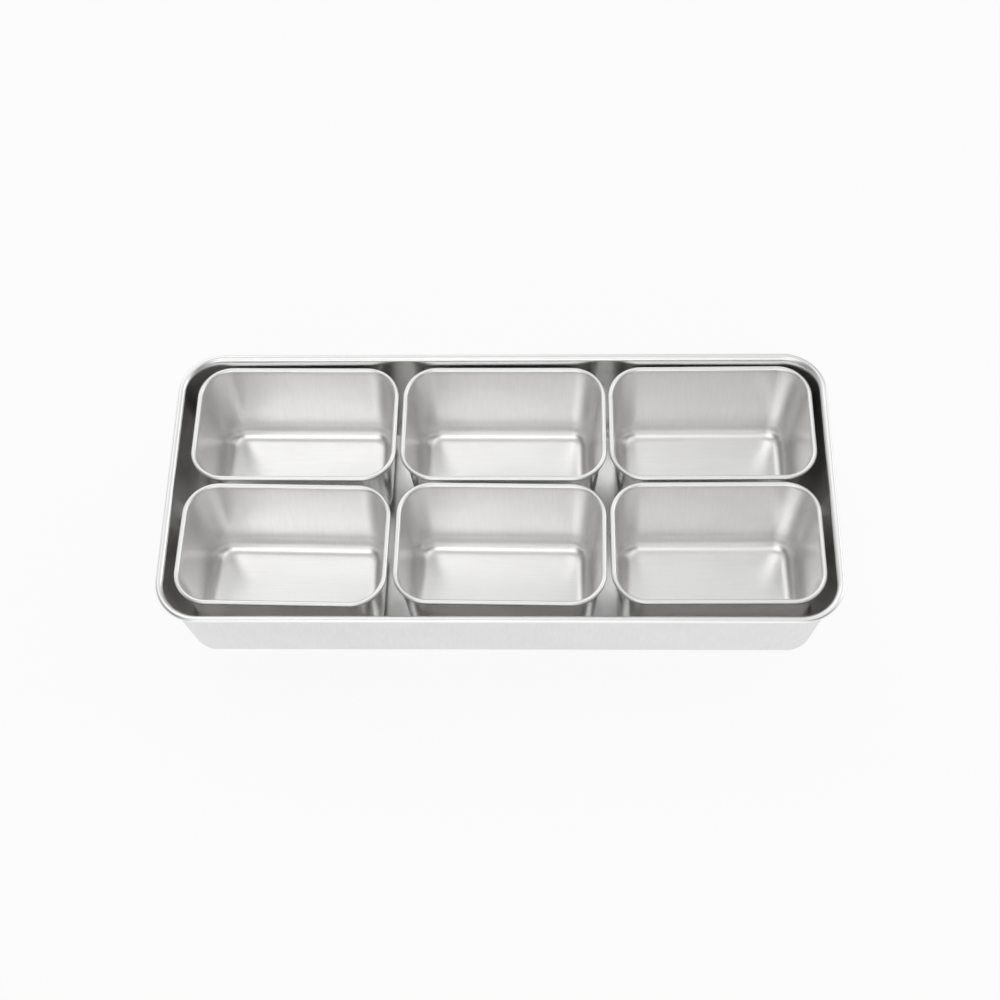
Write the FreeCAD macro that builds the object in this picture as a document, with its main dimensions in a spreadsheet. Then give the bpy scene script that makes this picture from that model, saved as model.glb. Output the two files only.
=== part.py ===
import FreeCAD, Part
import math
import os

import Sketcher

# Condiment tray: a pressed sheet-metal tray with six loose pressed pans standing in it.
# Millimetres. +X runs along the tray, +Y to its back, +Z up.
# The origin is the middle of the tray's underside.

# Driving sizes: alias, value, meaning.
SIZES = (
    ("pan_length", 117.5, "pan over its rim, along X"),
    ("pan_width", 75.0, "pan over its rim, along Y"),
    ("pan_height", 63.0, "pan from its underside to the top of its rim"),
    ("pan_corner", 19.5, "corner radius of the pan in plan, at its rim"),
    ("pan_sheet", 0.6, "thickness of the pan's sheet"),
    ("pan_draft", 4.0, "lean of the pan's walls from upright, degrees"),
    ("pan_fillet", 9.0, "inside radius between the pan's walls and floor"),
    ("pan_shoulder", 1.6, "radius where the pan's wall turns out into its rim"),
    ("pan_bead", 2.7, "diameter of the pan's rolled edge"),
    ("pan_curl", 195.0, "turn of the pan's rolled edge past the top, degrees"),
    ("tray_corner", 25.0, "corner radius of the tray in plan, at its rim"),
    ("tray_sheet", 0.7, "thickness of the tray's sheet"),
    ("tray_draft", 6.0, "lean of the tray's walls from upright, degrees"),
    ("tray_fillet", 9.6, "inside radius between the tray's walls and floor"),
    ("tray_shoulder", 2.6, "radius where the tray's wall turns out into its rim"),
    ("tray_bead", 3.2, "diameter of the tray's rolled edge"),
    ("tray_curl", 240.0, "turn of the tray's rolled edge past the top, degrees"),
    ("rim_rise", 5.3, "height of the tray's rim above the pans' rims"),
    ("column_gap", 2.2, "gap between pans side by side"),
    ("row_gap", 2.0, "gap between the back and the front row"),
    ("side_gap", 4.2, "gap between the end pans and the tray's end walls"),
    ("back_gap", 1.0, "gap between the back row and the tray's back wall"),
    ("front_gap", 8.2, "gap between the front row and the tray's front wall"),
    ("pan_play", 2.0, "play of a loose pan about its place in the grid"),
    ("floor_lap", 1.5, "flat floor left on the swept wall, where the floor plate joins it"),
)

# Grid place of each pan, then how it lies there: share of its play along X and Y, turn in degrees.
PANS = {
    "back_left": (-1, 1, 0.75, -0.05, -0.4),
    "back_middle": (0, 1, 0.85, -0.15, -0.2),
    "back_right": (1, 1, 0.45, 0.05, 0.3),
    "front_left": (-1, -1, -0.05, -0.3, -1.1),
    "front_middle": (0, -1, 0.35, -0.05, -0.8),
    "front_right": (1, -1, 0.3, 0.25, 0.2),
}

# Angles in degrees.
QUARTER_TURN = 90
HALF_TURN = 180

# Sizes that follow from the driving ones: alias, formula, meaning.
FOLLOWING = (
    ("tray_height", "=tray_sheet + pan_height + rim_rise", "tray to the top of its rim"),
    ("pan_rim_level", "=tray_sheet + pan_height - pan_bead / 2", "height of the pans' widest line"),
    (
        "pan_foot_inset",
        "=pan_bead / 2 + (pan_shoulder - pan_sheet) * cos(pan_draft)"
        " + (pan_height - pan_shoulder + (pan_shoulder - pan_sheet) * sin(pan_draft))"
        " * tan(pan_draft)",
        "pan's rim outline to the outside of its wall, at its underside",
    ),
    (
        "tray_top_inset",
        "=tray_bead / 2 + tray_shoulder * cos(tray_draft)"
        " + (tray_height - tray_shoulder + tray_shoulder * sin(tray_draft) - pan_rim_level)"
        " * tan(tray_draft)",
        "tray's rim outline to the inside of its wall, at the pans' rims",
    ),
    (
        "tray_foot_inset",
        "=tray_top_inset + (pan_rim_level - tray_sheet) * tan(tray_draft)",
        "tray's rim outline to the inside of its wall, at its floor",
    ),
    (
        "fillet_step",
        "=max(0; tray_fillet - pan_fillet - pan_sheet)",
        "room that a tray fillet larger than the pans' takes at the floor",
    ),
    (
        "tray_wall_inset",
        "=max(tray_top_inset; tray_foot_inset - pan_foot_inset + fillet_step)",
        "tray's rim outline to the line that the pans' rims keep clear of",
    ),
    (
        "tray_length",
        "=3 * pan_length + 2 * column_gap + 2 * side_gap + 2 * tray_wall_inset",
        "tray over its rim, along X",
    ),
    (
        "tray_width",
        "=2 * pan_width + row_gap + front_gap + back_gap + 2 * tray_wall_inset",
        "tray over its rim, along Y",
    ),
    ("column_pitch", "=pan_length + column_gap", "pan to pan along X"),
    ("row_pitch", "=pan_width + row_gap", "pan to pan along Y"),
    ("row_offset", "=(front_gap - back_gap) / 2", "middle of the two rows behind the tray's middle"),
)


def floor_formulas(kind):
    """Formulas of the wall run and floor insets that one kind of vessel has, pan or tray."""
    run = (
        f"=({kind}_height - {kind}_shoulder - {kind}_sheet - {kind}_fillet"
        f" + ({kind}_shoulder + {kind}_fillet) * sin({kind}_draft)) / cos({kind}_draft)"
    )
    inset = (
        f"={kind}_bead / 2 + ({kind}_shoulder + {kind}_fillet) * cos({kind}_draft)"
        f" + {kind}_wall_run * sin({kind}_draft)"
    )
    return (
        (f"{kind}_wall_run", run, "straight stretch of the wall, along its lean"),
        (f"{kind}_floor_inset", inset, "rim outline to the flat floor"),
        (f"{kind}_stub_inset", f"={kind}_floor_inset + floor_lap", "rim outline to the wall's end"),
        (f"{kind}_plate_inset", f"={kind}_floor_inset + floor_lap / 2", "rim outline to the floor plate"),
    )


def pan_lie(name):
    """Cells that say how one loose pan lies off its grid place."""
    share_x, share_y, turn = PANS[name][2:]
    return (
        (f"{name}_shift_x", f"={share_x} * pan_play", "pan off its grid place, along X"),
        (f"{name}_shift_y", f"={share_y} * pan_play", "pan off its grid place, along Y"),
        (f"{name}_turn", turn, "pan turned in plan, degrees"),
    )


def fill_sheet(doc):
    """Make the sheet of sizes, one row each: meaning, value and alias."""
    cells = list(SIZES)
    for name in PANS:
        cells.extend(pan_lie(name))
    cells.extend(FOLLOWING)
    for kind in ("pan", "tray"):
        cells.extend(floor_formulas(kind))
    sheet = doc.addObject("Spreadsheet::Sheet", "Sizes")
    for row, (alias, content, meaning) in enumerate(cells, start=1):
        sheet.set(f"A{row}", meaning)
        sheet.set(f"B{row}", str(content))
        sheet.setAlias(f"B{row}", alias)
    doc.recompute()
    return sheet


def origin_plane(body, role):
    """The body's own origin plane with this role."""
    for feature in body.Origin.OriginFeatures:
        if feature.Role == role:
            return feature
    raise LookupError(role)


def new_sketch(body, name, role):
    """An empty sketch on one of the body's origin planes."""
    sketch = body.newObject("Sketcher::SketchObject", name)
    sketch.AttachmentSupport = [(origin_plane(body, role), "")]
    sketch.MapMode = "FlatFace"
    return sketch


def line(start, end):
    """A straight edge between two sketch points."""
    return Part.LineSegment(FreeCAD.Vector(*start, 0), FreeCAD.Vector(*end, 0))


def arc(centre, radius, first, last):
    """An arc about a sketch point, anticlockwise between two angles in degrees."""
    circle = Part.Circle(FreeCAD.Vector(*centre, 0), FreeCAD.Vector(0, 0, 1), radius)
    return Part.ArcOfCircle(circle, math.radians(first), math.radians(last))


def polar(centre, radius, angle):
    """The point at a radius and an angle in degrees from a centre."""
    turn = math.radians(angle)
    return (centre[0] + radius * math.cos(turn), centre[1] + radius * math.sin(turn))


def constrain(sketch, kind, *where, name="", expression=""):
    """Add one constraint, and bind it to the sheet where an expression is given."""
    index = sketch.addConstraint(Sketcher.Constraint(kind, *where))
    if name:
        sketch.renameConstraint(index, name)
        sketch.setExpression(f"Constraints.{name}", expression)


# Numbers that a sketch uses for the ends and centre of its edges, and for its own origin.
START, END, CENTRE = 1, 2, 3
X_AXIS = -1
ORIGIN = (-1, START)


def draw_outline(body, sheet, name, kind, inset=None):
    """Rounded rectangle of a vessel's rim, or the same outline drawn in by an inset cell."""
    step = sheet.get(inset) if inset else 0.0
    less = f" - Sizes.{inset}" if inset else ""
    half_x = sheet.get(f"{kind}_length") / 2 - step
    half_y = sheet.get(f"{kind}_width") / 2 - step
    radius = sheet.get(f"{kind}_corner") - step
    core_x = half_x - radius
    core_y = half_y - radius
    sketch = new_sketch(body, name, "XY_Plane")
    # The outline starts and ends in the middle of the right-hand side, where the section stands.
    edges = (
        line((half_x, 0), (half_x, core_y)),
        arc((core_x, core_y), radius, 0, QUARTER_TURN),
        line((core_x, half_y), (-core_x, half_y)),
        arc((-core_x, core_y), radius, QUARTER_TURN, HALF_TURN),
        line((-half_x, core_y), (-half_x, -core_y)),
        arc((-core_x, -core_y), radius, HALF_TURN, HALF_TURN + QUARTER_TURN),
        line((-core_x, -half_y), (core_x, -half_y)),
        arc((core_x, -core_y), radius, -QUARTER_TURN, 0),
        line((half_x, -core_y), (half_x, 0)),
    )
    right, corner, back, back_left, left, front_left, front, front_right, right_end = [
        sketch.addGeometry(edge) for edge in edges
    ]
    for edge in range(right, right_end):
        constrain(sketch, "Tangent", edge, END, edge + 1, START)
    constrain(sketch, "Coincident", right_end, END, right, START)
    for edge in (right, left, right_end):
        constrain(sketch, "Vertical", edge)
    for edge in (back, front):
        constrain(sketch, "Horizontal", edge)
    for edge in (back_left, front_left, front_right):
        constrain(sketch, "Equal", corner, edge)
    constrain(sketch, "PointOnObject", right, START, X_AXIS)
    sizes = (
        ("Radius", (corner, radius), "corner", f"Sizes.{kind}_corner{less}"),
        ("DistanceX", (*ORIGIN, right, START, half_x), "half_length", f"Sizes.{kind}_length / 2{less}"),
        ("DistanceX", (left, START, *ORIGIN, half_x), "left_length", f"Sizes.{kind}_length / 2{less}"),
        ("DistanceY", (*ORIGIN, back, START, half_y), "half_width", f"Sizes.{kind}_width / 2{less}"),
        ("DistanceY", (front, START, *ORIGIN, half_y), "front_width", f"Sizes.{kind}_width / 2{less}"),
    )
    for sort, where, label, expression in sizes:
        constrain(sketch, sort, *where, name=label, expression=expression)
    return sketch


def draw_section(body, sheet, kind):
    """Section of a vessel's sheet, from the floor up the wall and round the rolled edge."""
    half = sheet.get(f"{kind}_length") / 2
    height = sheet.get(f"{kind}_height")
    sheet_gauge = sheet.get(f"{kind}_sheet")
    draft = sheet.get(f"{kind}_draft")
    fillet = sheet.get(f"{kind}_fillet")
    shoulder = sheet.get(f"{kind}_shoulder")
    bead = sheet.get(f"{kind}_bead") / 2
    curl_end = QUARTER_TURN - sheet.get(f"{kind}_curl")
    stub = half - sheet.get(f"{kind}_stub_inset")
    fillet_centre = (half - sheet.get(f"{kind}_floor_inset"), sheet_gauge + fillet)
    shoulder_centre = (half - bead, height - shoulder)
    bead_centre = (half - bead, height - bead)

    def skin(fillet_radius, shoulder_radius, bead_radius):
        """One face of the sheet: floor, fillet, wall, shoulder and bead."""
        floor = fillet_centre[1] - fillet_radius
        wall_foot = polar(fillet_centre, fillet_radius, -draft)
        wall_top = polar(shoulder_centre, shoulder_radius, HALF_TURN - draft)
        return (
            line((stub, floor), (fillet_centre[0], floor)),
            arc(fillet_centre, fillet_radius, -QUARTER_TURN, -draft),
            line(wall_foot, wall_top),
            arc(shoulder_centre, shoulder_radius, QUARTER_TURN, HALF_TURN - draft),
            arc(bead_centre, bead_radius, curl_end, QUARTER_TURN),
        )

    sketch = new_sketch(body, "section", "XZ_Plane")
    inside = [sketch.addGeometry(edge) for edge in skin(fillet, shoulder, bead)]
    outside = [
        sketch.addGeometry(edge)
        for edge in skin(fillet + sheet_gauge, shoulder - sheet_gauge, bead - sheet_gauge)
    ]
    stub_cap = sketch.addGeometry(line((stub, 0), (stub, sheet_gauge)))
    curl_cap = sketch.addGeometry(
        line(polar(bead_centre, bead - sheet_gauge, curl_end), polar(bead_centre, bead, curl_end))
    )
    for floor, bend, wall, turn, roll in (inside, outside):
        constrain(sketch, "Horizontal", floor)
        constrain(sketch, "Tangent", floor, END, bend, START)
        constrain(sketch, "Tangent", bend, END, wall, START)
        constrain(sketch, "Tangent", wall, END, turn, END)
        constrain(sketch, "Tangent", turn, START, roll, END)
    for index in (1, 3, 4):
        constrain(sketch, "Coincident", inside[index], CENTRE, outside[index], CENTRE)
    constrain(sketch, "Vertical", inside[3], CENTRE, inside[4], CENTRE)
    constrain(sketch, "Coincident", stub_cap, START, outside[0], START)
    constrain(sketch, "Coincident", stub_cap, END, inside[0], START)
    constrain(sketch, "Vertical", stub_cap)
    constrain(sketch, "Coincident", curl_cap, START, outside[4], START)
    constrain(sketch, "Coincident", curl_cap, END, inside[4], START)
    constrain(sketch, "PointOnObject", inside[4], CENTRE, curl_cap)
    constrain(sketch, "PointOnObject", stub_cap, START, X_AXIS)
    sizes = (
        ("Radius", (inside[1], fillet), "fillet", f"Sizes.{kind}_fillet"),
        (
            "Radius",
            (outside[1], fillet + sheet_gauge),
            "fillet_back",
            f"Sizes.{kind}_fillet + Sizes.{kind}_sheet",
        ),
        ("Radius", (inside[3], shoulder), "shoulder", f"Sizes.{kind}_shoulder"),
        (
            "Radius",
            (outside[3], shoulder - sheet_gauge),
            "shoulder_back",
            f"Sizes.{kind}_shoulder - Sizes.{kind}_sheet",
        ),
        ("Radius", (inside[4], bead), "bead", f"Sizes.{kind}_bead / 2"),
        (
            "Angle",
            (inside[2], math.radians(QUARTER_TURN - draft)),
            "lean",
            f"({QUARTER_TURN} - Sizes.{kind}_draft) * 1 deg",
        ),
        (
            "Angle",
            (curl_cap, math.radians(curl_end)),
            "curl_end",
            f"({QUARTER_TURN} - Sizes.{kind}_curl) * 1 deg",
        ),
        (
            "DistanceX",
            (*ORIGIN, inside[4], CENTRE, bead_centre[0]),
            "bead_reach",
            f"Sizes.{kind}_length / 2 - Sizes.{kind}_bead / 2",
        ),
        (
            "DistanceY",
            (*ORIGIN, inside[4], CENTRE, bead_centre[1]),
            "bead_level",
            f"Sizes.{kind}_height - Sizes.{kind}_bead / 2",
        ),
        (
            "DistanceX",
            (*ORIGIN, stub_cap, START, stub),
            "stub_reach",
            f"Sizes.{kind}_length / 2 - Sizes.{kind}_stub_inset",
        ),
    )
    for sort, where, label, expression in sizes:
        constrain(sketch, sort, *where, name=label, expression=expression)
    return sketch


def make_vessel(doc, sheet, kind, label):
    """A pressed vessel: the section swept round the rim outline, and a flat floor plate."""
    body = doc.addObject("PartDesign::Body", label)
    body.Label = label
    outline = draw_outline(body, sheet, "rim_outline", kind)
    section = draw_section(body, sheet, kind)
    doc.recompute()
    wall = body.newObject("PartDesign::AdditivePipe", "wall")
    wall.Profile = section
    wall.Spine = (outline, [f"Edge{number}" for number in range(1, outline.GeometryCount + 1)])
    floor_outline = draw_outline(body, sheet, "floor_outline", kind, f"{kind}_plate_inset")
    floor = body.newObject("PartDesign::Pad", "floor")
    floor.Profile = floor_outline
    floor.setExpression("Length", f"Sizes.{kind}_sheet")
    doc.recompute()
    return body


def make_pan(doc, sheet, name):
    """One loose pan, standing on the tray's floor at its place in the grid."""
    column, row = PANS[name][:2]
    body = make_vessel(doc, sheet, "pan", f"pan_{name}")
    body.Placement = FreeCAD.Placement(
        FreeCAD.Vector(0, 0, 0), FreeCAD.Rotation(FreeCAD.Vector(0, 0, 1), sheet.get(f"{name}_turn"))
    )
    body.setExpression("Placement.Base.x", f"{column} * Sizes.column_pitch + Sizes.{name}_shift_x")
    body.setExpression(
        "Placement.Base.y", f"{row} * Sizes.row_pitch / 2 + Sizes.row_offset + Sizes.{name}_shift_y"
    )
    body.setExpression("Placement.Base.z", "Sizes.tray_sheet")
    body.setExpression("Placement.Rotation.Yaw", f"Sizes.{name}_turn * 1 deg")
    return body


def check(doc, bodies):
    """Stop if any object failed, or if a piece isn't one valid solid."""
    for item in doc.Objects:
        if "Invalid" in item.State or "Error" in item.State:
            raise RuntimeError(f"{item.Label} failed: {item.State}")
    for body in bodies:
        shape = body.Shape
        if shape.isNull() or not shape.isValid() or len(shape.Solids) != 1:
            raise RuntimeError(f"{body.Label} is not one valid solid")


def main():
    """Build the tray and its pans, and write each piece to its own file."""
    doc = FreeCAD.newDocument("condiment_tray")
    sheet = fill_sheet(doc)
    bodies = [make_vessel(doc, sheet, "tray", "tray")]
    for name in PANS:
        bodies.append(make_pan(doc, sheet, name))
    doc.recompute()
    check(doc, bodies)
    os.makedirs("parts", exist_ok=True)
    for body in bodies:
        body.Shape.exportStep(f"parts/{body.Label}.step")
        print(f"{body.Label}: {body.Shape.Volume:.0f} mm3")


main()
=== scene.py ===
"""Looks of a condiment tray: a pressed steel tray in which six loose pressed steel pans stand.

Metres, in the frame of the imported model: +X runs along the tray, +Y to its back, +Z up.
"""

import logging
import math
from dataclasses import dataclass
from enum import Enum
from typing import Any, Mapping, Optional, Sequence, Union

import bmesh
import bpy
from mathutils import Matrix, Vector, noise


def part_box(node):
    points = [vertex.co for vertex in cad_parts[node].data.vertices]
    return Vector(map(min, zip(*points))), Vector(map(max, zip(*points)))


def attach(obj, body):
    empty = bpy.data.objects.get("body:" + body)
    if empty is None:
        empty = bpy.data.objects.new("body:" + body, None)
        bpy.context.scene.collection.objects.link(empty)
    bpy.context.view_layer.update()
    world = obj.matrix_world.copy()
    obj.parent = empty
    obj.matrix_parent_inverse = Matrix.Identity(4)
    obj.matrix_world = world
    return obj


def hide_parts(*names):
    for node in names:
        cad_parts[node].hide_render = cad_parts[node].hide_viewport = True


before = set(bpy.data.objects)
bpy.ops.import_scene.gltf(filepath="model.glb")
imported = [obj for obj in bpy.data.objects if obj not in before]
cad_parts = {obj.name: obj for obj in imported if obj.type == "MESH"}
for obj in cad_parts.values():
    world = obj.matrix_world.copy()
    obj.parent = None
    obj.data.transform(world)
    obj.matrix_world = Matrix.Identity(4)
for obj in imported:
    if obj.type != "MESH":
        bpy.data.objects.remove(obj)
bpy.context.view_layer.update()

LOG = logging.getLogger("condiment_tray")
MILLIMETRE = 0.001
# Light is passed on this often between the close, facing sheets of steel.
MIRROR_BOUNCES = 16

Colour = tuple[float, float, float]


def smooth_step(value: float, low: float, high: float) -> float:
    """Ease a value from 0 at low to 1 at high.

    Args:
        value: the value to ease.
        low: where the result leaves 0.
        high: where the result reaches 1.

    Returns:
        The eased share, from 0 to 1.
    """
    share = min(max((value - low) / (high - low), 0.0), 1.0)
    return share * share * (3.0 - 2.0 * share)


def spread(first: float, last: float, steps: int) -> list[float]:
    """Values evenly spaced from first to last, both included."""
    return [first + (last - first) * step / steps for step in range(steps + 1)]


# Shader arithmetic

class Board:
    """One node tree, to which nodes and shader arithmetic are added."""

    def __init__(self, tree: bpy.types.NodeTree) -> None:
        """Start from an empty tree."""
        self.tree = tree
        tree.nodes.clear()

    def add(
        self,
        kind: str,
        settings: Optional[Mapping[str, Any]] = None,
        inputs: Optional[Mapping[Union[str, int], Any]] = None,
    ) -> bpy.types.Node:
        """Add one node.

        Args:
            kind: the node's type name.
            settings: properties set on the node before its sockets.
            inputs: values or wires for its input sockets, by name or number.

        Returns:
            The new node.
        """
        node = self.tree.nodes.new(kind)
        for name, value in (settings or {}).items():
            setattr(node, name, value)
        for key, value in (inputs or {}).items():
            self.feed(node.inputs[key], value)
        return node

    def feed(self, socket: bpy.types.NodeSocket, value: Any) -> None:
        """Link a wire into a socket, or set a constant on it."""
        if isinstance(value, Wire):
            self.tree.links.new(value.socket, socket)
        else:
            socket.default_value = value

    def wire(self, node: bpy.types.Node, output: Union[str, int] = 0) -> "Wire":
        """One output of a node, as an operand of shader arithmetic."""
        return Wire(self, node.outputs[output])

    def math(self, operation: str, *operands: "Operand", clamp: bool = False) -> "Wire":
        """Add a Math node on values.

        Args:
            operation: the Math node's operation.
            operands: wires or numbers, in the node's order.
            clamp: whether the result is held between 0 and 1.

        Returns:
            The node's result.
        """
        settings = {"operation": operation, "use_clamp": clamp}
        return self.wire(self.add("ShaderNodeMath", settings, dict(enumerate(operands))))

    def vector_math(self, operation: str, *operands: Any, output: str = "Vector") -> "Wire":
        """Add a Vector Math node and give the named output."""
        node = self.add("ShaderNodeVectorMath", {"operation": operation}, dict(enumerate(operands)))
        return self.wire(node, output)

    def mix_colour(self, share: "Operand", first: Any, second: Any) -> "Wire":
        """Mix two colours by a share."""
        node = self.add("ShaderNodeMix", {"data_type": "RGBA"}, {0: share, 6: first, 7: second})
        return self.wire(node, 2)

    def noise(self, place: "Wire", scale: float, detail: float, roughness: float = 0.5) -> "Wire":
        """Cloudy noise between about 0.2 and 0.8 at a place.

        Args:
            place: coordinates in metres, or stretched from them.
            scale: features per metre.
            detail: how many finer octaves are added.
            roughness: how strongly those octaves count.

        Returns:
            The noise's factor.
        """
        inputs = {"Vector": place, "Scale": scale, "Detail": detail, "Roughness": roughness}
        return self.wire(self.add("ShaderNodeTexNoise", None, inputs), "Fac")


class Wire:
    """One output socket, with shader arithmetic written as Python operators."""

    def __init__(self, board: Board, socket: bpy.types.NodeSocket) -> None:
        """Hold a socket and the tree that it belongs to."""
        self.board = board
        self.socket = socket

    def __add__(self, other: "Operand") -> "Wire":
        """Sum of two values."""
        return self.board.math("ADD", self, other)

    __radd__ = __add__

    def __sub__(self, other: "Operand") -> "Wire":
        """Difference of two values."""
        return self.board.math("SUBTRACT", self, other)

    def __rsub__(self, other: "Operand") -> "Wire":
        """Difference from a number."""
        return self.board.math("SUBTRACT", other, self)

    def __mul__(self, other: "Operand") -> "Wire":
        """Product of two values."""
        return self.board.math("MULTIPLY", self, other)

    __rmul__ = __mul__

    def __truediv__(self, other: "Operand") -> "Wire":
        """Quotient of two values."""
        return self.board.math("DIVIDE", self, other)

    def __rtruediv__(self, other: "Operand") -> "Wire":
        """Quotient of a number and this value."""
        return self.board.math("DIVIDE", other, self)

    def __abs__(self) -> "Wire":
        """Size of a value, without its sign."""
        return self.board.math("ABSOLUTE", self)

    def held(self) -> "Wire":
        """This value, held between 0 and 1."""
        return self.board.math("ADD", self, 0.0, clamp=True)

    def stretched(self, scale: Colour) -> "Wire":
        """This vector, scaled along each axis."""
        return self.board.vector_math("MULTIPLY", self, scale)


Operand = Union[Wire, float]


# Steel

class Grain(Enum):
    """Which way the fine lines of a surface run, as the shares that stretch its pattern."""

    UPRIGHT = (1.0, 1.0, 0.03)
    LENGTHWISE = (0.03, 1.0, 1.0)
    EVEN = (1.0, 1.0, 1.0)


@dataclass(frozen=True)
class SteelFinish:
    """One finish of stainless steel sheet."""

    name: str
    colour: Colour
    tarnish: Colour
    roughness: float
    grain: Grain
    grain_pitch: float
    grain_height: float
    grain_share: float = 0.02
    cloud_size: float = 0.03
    cloud_share: float = 0.02
    scratch_share: float = 0.06

    def make(self) -> bpy.types.Material:
        """Build the finish's material.

        Returns:
            The material, with its nodes.
        """
        material = bpy.data.materials.new(self.name)
        material.use_nodes = True
        board = Board(material.node_tree)
        place = board.wire(board.add("ShaderNodeTexCoord"), "Object")
        lines = board.noise(place.stretched(self.grain.value), 1.0 / self.grain_pitch, 3.0)
        clouds = board.noise(place, 1.0 / self.cloud_size, 4.0, 0.55)
        scratches = self.scratches(board, place)
        wear = (clouds * 1.2 + lines * 1.6 + scratches * 0.4 - 0.9).held()
        colour = board.mix_colour(wear, (*self.colour, 1.0), (*self.tarnish, 1.0))
        roughness = (
            self.roughness
            + self.grain_share * (lines - 0.5)
            + self.cloud_share * (clouds - 0.5)
            + self.scratch_share * scratches
        )
        bump = board.add(
            "ShaderNodeBump",
            None,
            {"Strength": 1.0, "Distance": self.grain_height, "Height": lines - 0.3 * scratches},
        )
        surface = board.add(
            "ShaderNodeBsdfPrincipled",
            None,
            {
                "Base Color": colour,
                "Metallic": 1.0,
                "Roughness": roughness.held(),
                "Normal": board.wire(bump),
            },
        )
        board.add("ShaderNodeOutputMaterial", None, {"Surface": board.wire(surface)})
        return material

    def scratches(self, board: Board, place: Wire) -> Wire:
        """Sparse hairlines from use, as a mask.

        Args:
            board: the material's nodes.
            place: coordinates on the object, in metres.

        Returns:
            1 on a hairline and 0 elsewhere.
        """
        slanted = place.stretched((0.25, 1.0, 0.4))
        level = board.noise(slanted, 90.0, 2.0)
        line = (1.0 - abs(level - 0.5) / 0.004).held()
        patches = board.noise(place, 60.0, 1.0)
        return line * (patches * 4.0 - 2.0).held()


PAN_INSIDE = SteelFinish(
    name="pan_inside_satin",
    colour=(0.905, 0.900, 0.897),
    tarnish=(0.850, 0.843, 0.834),
    roughness=0.30,
    grain=Grain.UPRIGHT,
    grain_pitch=0.0012,
    grain_height=0.000001,
)
PAN_FLOOR = SteelFinish(
    name="pan_floor_rolled",
    colour=(0.90, 0.90, 0.898),
    tarnish=(0.845, 0.845, 0.842),
    roughness=0.30,
    grain=Grain.LENGTHWISE,
    grain_pitch=0.0008,
    grain_height=0.0000008,
)
PAN_RIM = SteelFinish(
    name="pan_rim_satin",
    colour=(0.905, 0.905, 0.902),
    tarnish=(0.86, 0.86, 0.856),
    roughness=0.36,
    grain=Grain.EVEN,
    grain_pitch=0.0006,
    grain_height=0.0000006,
)
# Painted light: the pans' outer walls are held brighter than their insides, so that the narrow gaps between
# the pans and the tray read lighter.
PAN_OUTSIDE_PAINTED_LIGHT = SteelFinish(
    name="pan_outside_drawn",
    colour=(0.95, 0.947, 0.944),
    tarnish=(0.925, 0.920, 0.914),
    roughness=0.22,
    grain=Grain.UPRIGHT,
    grain_pitch=0.0012,
    grain_height=0.0000006,
)
# Painted shade: the tray's outer walls are held darker than its inner walls, though both are faces of one
# sheet.
TRAY_OUTSIDE_PAINTED_SHADE = SteelFinish(
    name="tray_outside_polished",
    colour=(0.81, 0.81, 0.808),
    tarnish=(0.755, 0.755, 0.752),
    roughness=0.31,
    grain=Grain.UPRIGHT,
    grain_pitch=0.0014,
    grain_height=0.0000006,
)
# Painted light: the tray's inner walls are held brighter than the rest of its steel, so that the gaps round
# the pans read lighter.
TRAY_WALL_PAINTED_LIGHT = SteelFinish(
    name="tray_wall_polished",
    colour=(0.95, 0.947, 0.944),
    tarnish=(0.925, 0.920, 0.914),
    roughness=0.25,
    grain=Grain.UPRIGHT,
    grain_pitch=0.0014,
    grain_height=0.0000008,
)
TRAY_FLOOR = SteelFinish(
    name="tray_floor_rolled",
    colour=(0.91, 0.91, 0.908),
    tarnish=(0.89, 0.89, 0.886),
    roughness=0.24,
    grain=Grain.LENGTHWISE,
    grain_pitch=0.0009,
    grain_height=0.0000008,
)
TRAY_RIM = SteelFinish(
    name="tray_rim_satin",
    colour=(0.89, 0.89, 0.887),
    tarnish=(0.85, 0.85, 0.846),
    roughness=0.31,
    grain=Grain.EVEN,
    grain_pitch=0.0006,
    grain_height=0.0000006,
)


# One finish for each zone of a vessel, in the order of the zones.
FinishSet = tuple[SteelFinish, SteelFinish, SteelFinish, SteelFinish]


# Pressed vessels

class Zone(Enum):
    """Stretches of a vessel's section, by the number of their material."""

    WALL = 0
    FLOOR = 1
    RIM = 2
    OUTSIDE = 3


@dataclass(frozen=True)
class SectionPoint:
    """One point of a vessel's section: how far in from the rim's outline, and how high."""

    inset: float
    level: float
    zone: Zone


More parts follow.
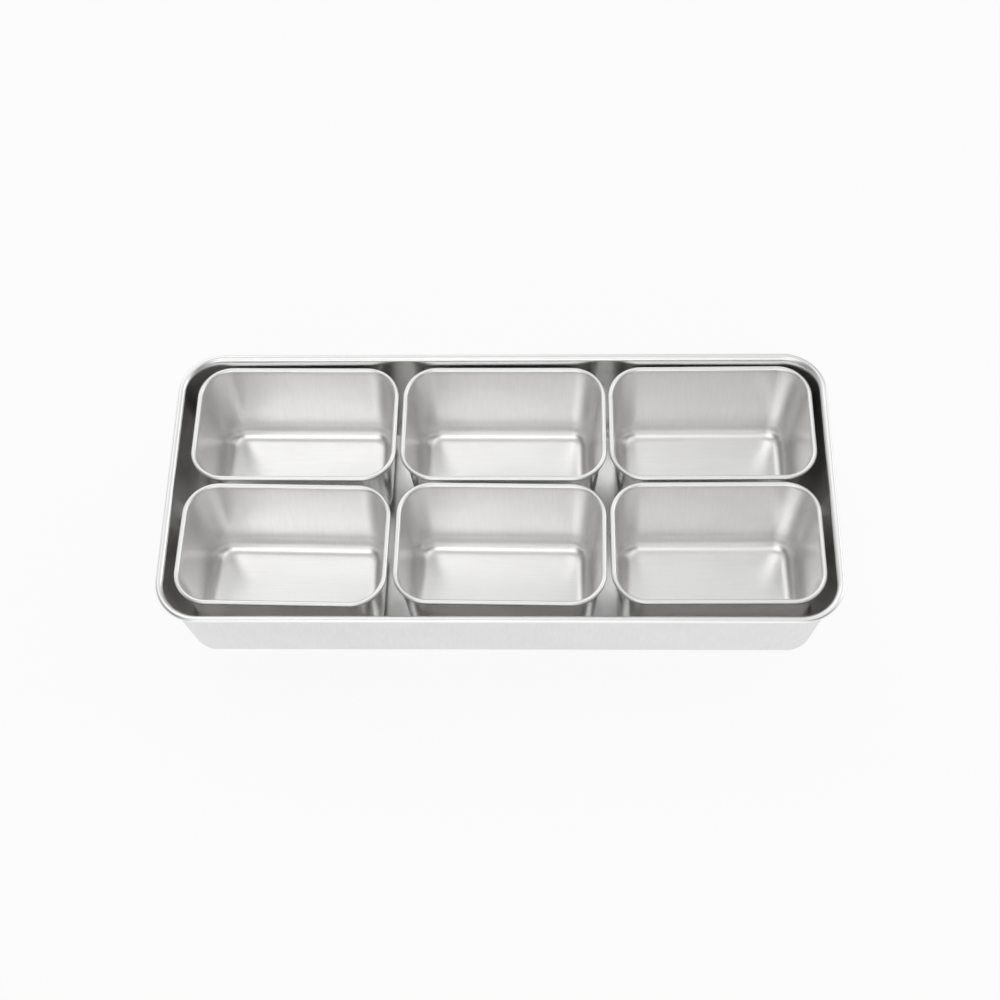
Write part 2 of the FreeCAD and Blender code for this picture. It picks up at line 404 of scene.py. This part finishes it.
@dataclass(kw_only=True)
class Vessel:
    """A vessel drawn from one sheet, with leaning walls and a rolled rim."""

    node: str
    slot: str
    length: float
    width: float
    height: float
    corner: float
    sheet: float
    draft: float
    fillet: float
    shoulder: float
    bead: float
    curl: float
    centre: Vector
    turn: float = 0.0
    finishes: FinishSet
    waver: float
    waver_size: float
    crown: float
    corner_steps: int = 20
    long_steps: int = 28
    short_steps: int = 16

    def floor_inset(self) -> float:
        """Distance from the rim's outline to the flat floor."""
        bends = self.shoulder + self.fillet
        rise = self.height - self.shoulder - self.sheet - self.fillet
        run = (rise + bends * math.sin(self.draft)) / math.cos(self.draft)
        return self.bead / 2.0 + bends * math.cos(self.draft) + run * math.sin(self.draft)

    def skin(self, fillet: float, shoulder: float, bead: float, side: Zone) -> list[SectionPoint]:
        """One face of the sheet, from the floor's edge up the wall and round the rim.

        Args:
            fillet: radius of this face at the foot of the wall.
            shoulder: radius of this face where the wall turns out.
            bead: radius of this face round the rolled edge.
            side: zone of this face's wall.

        Returns:
            The face's points in order.
        """
        foot = (self.floor_inset(), self.sheet + self.fillet)
        neck = (self.bead / 2.0, self.height - self.shoulder)
        roll = (self.bead / 2.0, self.height - self.bead / 2.0)
        points: list[SectionPoint] = []

        def sweep(centre: tuple[float, float], radius: float, angles: Sequence[float], zone: Zone) -> None:
            """Add the points of an arc about a centre."""
            for angle in angles:
                inset = centre[0] - radius * math.cos(angle)
                points.append(SectionPoint(inset, centre[1] + radius * math.sin(angle), zone))

        right = math.pi / 2.0
        sweep(foot, fillet, spread(-right, -self.draft, 12), side)
        low = points[-1]
        turn = math.pi - self.draft
        top_inset = neck[0] - shoulder * math.cos(turn)
        top_level = neck[1] + shoulder * math.sin(turn)
        for share in spread(0.0, 1.0, 16)[1:-1]:
            inset = low.inset + (top_inset - low.inset) * share
            points.append(SectionPoint(inset, low.level + (top_level - low.level) * share, side))
        sweep(neck, shoulder, spread(turn, right, 8), Zone.RIM)
        sweep(roll, bead, spread(right, right - self.curl, 24)[1:], Zone.RIM)
        return points

    def outline(self, inset: float) -> list[Vector]:
        """The rim's rounded rectangle, drawn in by an inset, anticlockwise from the right side's middle."""
        radius = self.corner - inset
        core_x = self.length / 2.0 - self.corner
        core_y = self.width / 2.0 - self.corner
        right = math.pi / 2.0
        half_short = self.short_steps // 2
        points = [Vector((core_x + radius, y, 0.0)) for y in spread(0.0, core_y, half_short)[:-1]]
        for quarter, (side_x, side_y) in enumerate(((1, 1), (-1, 1), (-1, -1), (1, -1))):
            for angle in spread(quarter * right, (quarter + 1) * right, self.corner_steps):
                x = side_x * core_x + radius * math.cos(angle)
                y = side_y * core_y + radius * math.sin(angle)
                points.append(Vector((x, y, 0.0)))
            start = points[-1]
            if quarter % 2 == 0:
                for x in spread(start.x, -start.x, self.long_steps)[1:-1]:
                    points.append(Vector((x, start.y, 0.0)))
            elif quarter == 1:
                for y in spread(start.y, -start.y, self.short_steps)[1:-1]:
                    points.append(Vector((start.x, y, 0.0)))
            else:
                for y in spread(start.y, 0.0, half_short)[1:-1]:
                    points.append(Vector((start.x, y, 0.0)))
        return points

    def floor_rings(self, level: float) -> list[list[Vector]]:
        """Rings of the flat floor, from near its middle line out to its edge.

        Args:
            level: height of this face of the floor.

        Returns:
            The rings, the innermost first.
        """
        edge = self.outline(self.floor_inset())
        reach = (self.length - self.width) / 2.0
        rings = []
        for share in spread(0.08, 1.0, 9):
            ring = []
            for point in edge:
                spine = Vector((min(max(point.x, -reach), reach), 0.0, 0.0))
                place = spine.lerp(point, share)
                rise = self.crown * (1.0 - share * share)
                ring.append(Vector((place.x, place.y, level + rise)))
            rings.append(ring)
        return rings

    def unevenness(self, place: Vector) -> float:
        """How far the pressed wall stands off its true shape at a place, in metres."""
        low = smooth_step(place.z, self.fillet, self.height * 0.3)
        high = 1.0 - smooth_step(place.z, self.height * 0.8, self.height - 2.0 * self.shoulder)
        seed = Vector((self.centre.x, self.centre.y, 0.0)) * 7.0
        return self.waver * low * high * noise.noise(place / self.waver_size + seed)

    def wall_ring(self, point: SectionPoint) -> list[Vector]:
        """One ring of the wall or rim, with the unevenness of pressed sheet."""
        ring = []
        outer = self.outline(0.0)
        for rim, place in zip(outer, self.outline(point.inset)):
            place.z = point.level
            across = (place.xy - rim.xy)
            if across.length > 0.0:
                shift = across.normalized() * self.unevenness(place)
                place.x += shift.x
                place.y += shift.y
            ring.append(place)
        return ring

    def build(self) -> bpy.types.Object:
        """Make the vessel's mesh as one closed sheet.

        Returns:
            The object, linked to the scene.
        """
        inside = self.skin(self.fillet, self.shoulder, self.bead / 2.0, Zone.WALL)
        outside = self.skin(
            self.fillet + self.sheet,
            self.shoulder - self.sheet,
            self.bead / 2.0 - self.sheet,
            Zone.OUTSIDE,
        )
        rings = self.floor_rings(self.sheet)
        zones = [Zone.FLOOR] * len(rings)
        for point in inside[1:] + outside[:0:-1]:
            rings.append(self.wall_ring(point))
            zones.append(point.zone)
        underside = self.floor_rings(0.0)[::-1]
        rings.extend(underside)
        zones.extend([Zone.FLOOR] * len(underside))
        place = Matrix.Translation(self.centre) @ Matrix.Rotation(self.turn, 4, "Z")
        work = bmesh.new()
        grid = [[work.verts.new(place @ point) for point in ring] for ring in rings]
        for row, (near, far) in enumerate(zip(grid, grid[1:])):
            zone = zones[row + 1] if zones[row] is Zone.FLOOR else zones[row]
            self.bridge(work, near, far, zone)
        self.close(work, grid[0])
        self.close(work, grid[-1])
        bmesh.ops.recalc_face_normals(work, faces=work.faces)
        mesh = bpy.data.meshes.new(f"drawn_{self.node}")
        work.to_mesh(mesh)
        work.free()
        mesh.shade_smooth()
        mesh.set_sharp_from_angle(angle=math.radians(40.0))
        piece = bpy.data.objects.new(f"drawn_{self.node}", mesh)
        bpy.context.scene.collection.objects.link(piece)
        return piece

    @staticmethod
    def bridge(work: bmesh.types.BMesh, near: list, far: list, zone: Zone) -> None:
        """Join two rings with a row of faces."""
        count = len(near)
        for index in range(count):
            after = (index + 1) % count
            face = work.faces.new((near[index], near[after], far[after], far[index]))
            face.material_index = zone.value

    @staticmethod
    def close(work: bmesh.types.BMesh, ring: list) -> None:
        """Fill a ring with rungs across its middle line."""
        count = len(ring)
        half = count // 2
        faces = [(ring[0], ring[1], ring[-1]), (ring[half - 1], ring[half], ring[half + 1])]
        for index in range(1, half - 1):
            faces.append((ring[index], ring[index + 1], ring[count - index - 1], ring[count - index]))
        for corners in faces:
            work.faces.new(corners).material_index = Zone.FLOOR.value

    def dress(self, piece: bpy.types.Object, materials: Mapping[str, bpy.types.Material]) -> None:
        """Give the piece its finishes, tie it to its node's body and hide the node's own part.

        Args:
            piece: the vessel's object.
            materials: the finishes' materials by name.
        """
        for finish in self.finishes:
            piece.data.materials.append(materials[finish.name])
        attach(piece, self.node)
        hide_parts(self.node)
        LOG.info("%s: %d faces", piece.name, len(piece.data.polygons))


def foot_middle(low: Vector, high: Vector) -> Vector:
    """Middle of a box's underside."""
    return Vector(((low.x + high.x) / 2.0, (low.y + high.y) / 2.0, low.z))


@dataclass(kw_only=True)
class Tray(Vessel):
    """The outer tray, which fills its node's box."""

    node: str = "tray"
    slot: str = "tray_steel"
    corner: float = 25.0 * MILLIMETRE
    sheet: float = 0.7 * MILLIMETRE
    draft: float = math.radians(6.0)
    fillet: float = 9.6 * MILLIMETRE
    shoulder: float = 2.6 * MILLIMETRE
    bead: float = 3.2 * MILLIMETRE
    curl: float = math.radians(240.0)
    finishes: FinishSet = (TRAY_WALL_PAINTED_LIGHT, TRAY_FLOOR, TRAY_RIM, TRAY_OUTSIDE_PAINTED_SHADE)
    waver: float = 0.10 * MILLIMETRE
    waver_size: float = 45.0 * MILLIMETRE
    crown: float = 0.0
    long_steps: int = 72
    short_steps: int = 32

    @classmethod
    def from_frame(cls) -> "Tray":
        """The tray, sized and placed as its node is."""
        low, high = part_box("tray")
        size = high - low
        return cls(length=size.x, width=size.y, height=size.z, centre=foot_middle(low, high))


@dataclass(kw_only=True)
class Pan(Vessel):
    """One loose pan."""

    slot: str = "pan_steel"
    length: float = 117.5 * MILLIMETRE
    width: float = 75.0 * MILLIMETRE
    corner: float = 19.5 * MILLIMETRE
    sheet: float = 0.6 * MILLIMETRE
    draft: float = math.radians(4.0)
    fillet: float = 9.0 * MILLIMETRE
    shoulder: float = 1.6 * MILLIMETRE
    bead: float = 2.7 * MILLIMETRE
    curl: float = math.radians(195.0)
    finishes: FinishSet = (PAN_INSIDE, PAN_FLOOR, PAN_RIM, PAN_OUTSIDE_PAINTED_LIGHT)
    waver: float = 0.12 * MILLIMETRE
    waver_size: float = 24.0 * MILLIMETRE
    crown: float = 0.25 * MILLIMETRE

    @classmethod
    def from_frame(cls, node: str, turn: float) -> "Pan":
        """One pan, placed and raised as its node is.

        Args:
            node: the pan's node.
            turn: how far the pan is turned in plan, in degrees.

        Returns:
            The pan, ready to build.
        """
        low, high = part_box(node)
        return cls(
            node=node, height=high.z - low.z, centre=foot_middle(low, high), turn=math.radians(turn)
        )


# How far each loose pan is turned in plan, in degrees.
PAN_TURNS = {
    "pan_back_left": -0.4,
    "pan_back_middle": -0.2,
    "pan_back_right": 0.3,
    "pan_front_left": -1.1,
    "pan_front_middle": -0.8,
    "pan_front_right": 0.2,
}


# Studio

@dataclass(frozen=True)
class Glow:
    """One soft round patch of light on the studio's dome.

    Its bearing runs in degrees from +X towards the back, its height in degrees from the floor.
    """

    bearing: float
    height: float
    focus: float
    strength: float

    def level(self, board: Board, ray: Wire) -> Wire:
        """Brightness that the patch adds in the direction of a ray.

        Args:
            board: the world's nodes.
            ray: the ray's direction.

        Returns:
            The patch's strength at its middle, fading outwards.
        """
        bearing, height = math.radians(self.bearing), math.radians(self.height)
        level = math.cos(height)
        aim = (level * math.cos(bearing), level * math.sin(bearing), math.sin(height))
        ahead = board.vector_math("DOT_PRODUCT", ray, aim, output="Value")
        return board.math("EXPONENT", (ahead - 1.0) * self.focus) * self.strength


@dataclass(frozen=True)
class Studio:
    """Pale floor, soft dome of light and the view."""

    floor_half: float = 4.0
    floor_drop: float = 0.0003
    floor_colour: Colour = (0.90, 0.90, 0.90)
    floor_white: float = 0.90
    dome_base: float = 0.04
    glows: tuple[Glow, ...] = (
        Glow(bearing=-104.0, height=66.0, focus=40.0, strength=1.86),
        Glow(bearing=-125.0, height=58.0, focus=40.0, strength=0.63),
        Glow(bearing=-110.0, height=50.0, focus=40.0, strength=0.24),
        Glow(bearing=-90.0, height=34.0, focus=11.0, strength=0.30),
        Glow(bearing=-90.0, height=10.0, focus=8.0, strength=1.53),
        Glow(bearing=-20.0, height=66.0, focus=40.0, strength=1.07),
        Glow(bearing=0.0, height=90.0, focus=40.0, strength=0.26),
        Glow(bearing=60.0, height=74.0, focus=40.0, strength=0.45),
        Glow(bearing=160.0, height=66.0, focus=40.0, strength=0.60),
        Glow(bearing=120.0, height=56.0, focus=25.0, strength=1.00),
        Glow(bearing=120.0, height=45.0, focus=30.0, strength=0.33),
        Glow(bearing=90.0, height=34.0, focus=11.0, strength=0.99),
        Glow(bearing=135.0, height=10.0, focus=8.0, strength=0.99),
        Glow(bearing=30.0, height=56.0, focus=18.0, strength=0.83),
        Glow(bearing=20.0, height=20.0, focus=15.0, strength=1.66),
        Glow(bearing=0.0, height=10.0, focus=8.0, strength=0.53),
        Glow(bearing=180.0, height=10.0, focus=8.0, strength=0.48),
    )
    lens: float = 59.14
    distance: float = 0.9205
    aim: Colour = (0.00017, -0.00797, 0.06235)
    elevation: float = math.radians(62.0)
    heading: float = 0.0615
    roll: float = -0.0551

    def lay_floor(self) -> None:
        """Lay the floor just under the tray."""
        work = bmesh.new()
        half = self.floor_half
        corners = ((-half, -half), (half, -half), (half, half), (-half, half))
        work.faces.new([work.verts.new((x, y, -self.floor_drop)) for x, y in corners])
        mesh = bpy.data.meshes.new("floor")
        work.to_mesh(mesh)
        work.free()
        mesh.materials.append(self.floor_material())
        floor = bpy.data.objects.new("floor", mesh)
        bpy.context.scene.collection.objects.link(floor)

    def floor_material(self) -> bpy.types.Material:
        """Matt white that reads as the background but keeps the object's shadow."""
        material = bpy.data.materials.new("studio_floor")
        material.use_nodes = True
        board = Board(material.node_tree)
        matt = board.add("ShaderNodeBsdfDiffuse", None, {"Color": (*self.floor_colour, 1.0)})
        white = board.add("ShaderNodeEmission", None, {"Color": (1.0, 1.0, 1.0, 1.0), "Strength": 1.0})
        share = self.seen(board) * self.floor_white
        mixed = board.add(
            "ShaderNodeMixShader", None, {0: share, 1: board.wire(matt), 2: board.wire(white)}
        )
        board.add("ShaderNodeOutputMaterial", None, {"Surface": board.wire(mixed)})
        return material

    @staticmethod
    def seen(board: Board) -> Wire:
        """1 for rays that show the background: straight, mirrored or through glass."""
        path = board.add("ShaderNodeLightPath")
        straight = board.wire(path, "Is Camera Ray")
        mirrored = board.wire(path, "Is Glossy Ray")
        through = board.wire(path, "Is Transmission Ray")
        return (straight + mirrored + through).held()

    def light_dome(self) -> None:
        """Light the scene by a soft dome, white where the camera sees it."""
        world = bpy.data.worlds.new("studio_dome")
        world.use_nodes = True
        board = Board(world.node_tree)
        towards = board.wire(board.add("ShaderNodeTexCoord"), "Generated")
        level: Operand = self.dome_base
        for glow in self.glows:
            level = level + glow.level(board, towards)
        camera = board.wire(board.add("ShaderNodeLightPath"), "Is Camera Ray")
        strength = level * (1.0 - camera) + camera
        background = board.add(
            "ShaderNodeBackground", None, {"Color": (1.0, 1.0, 1.0, 1.0), "Strength": strength}
        )
        board.add("ShaderNodeOutputWorld", None, {"Surface": board.wire(background)})
        bpy.context.scene.world = world

    def set_camera(self) -> None:
        """Stand the camera where the photograph was taken from."""
        level = math.cos(self.elevation)
        back = Vector(
            (math.sin(self.heading) * level, -math.cos(self.heading) * level, math.sin(self.elevation))
        )
        right = Vector((0.0, 0.0, 1.0)).cross(back).normalized()
        up = back.cross(right)
        tilted_right = math.cos(self.roll) * right + math.sin(self.roll) * up
        tilted_up = math.cos(self.roll) * up - math.sin(self.roll) * right
        place = Matrix((tilted_right, tilted_up, back)).transposed().to_4x4()
        place.translation = Vector(self.aim) + back * self.distance
        lens = bpy.data.cameras.new("photo_view")
        lens.lens = self.lens
        lens.clip_start = 0.01
        camera = bpy.data.objects.new("photo_view", lens)
        camera.matrix_world = place
        bpy.context.scene.collection.objects.link(camera)
        bpy.context.scene.camera = camera


def main() -> None:
    """Build the tray, its pans and the studio."""
    logging.basicConfig(level=logging.INFO, format="%(name)s: %(message)s")
    pans = [Pan.from_frame(node, turn) for node, turn in PAN_TURNS.items()]
    vessels: list[Vessel] = [Tray.from_frame(), *pans]
    finishes = {finish for vessel in vessels for finish in vessel.finishes}
    materials = {finish.name: finish.make() for finish in sorted(finishes, key=lambda each: each.name)}
    for vessel in vessels:
        vessel.dress(vessel.build(), materials)
    studio = Studio()
    studio.lay_floor()
    studio.light_dome()
    studio.set_camera()
    scene = bpy.context.scene
    scene.view_settings.view_transform = "Standard"
    scene.cycles.max_bounces = MIRROR_BOUNCES
    scene.cycles.glossy_bounces = MIRROR_BOUNCES


if __name__ == "__main__":
    main()
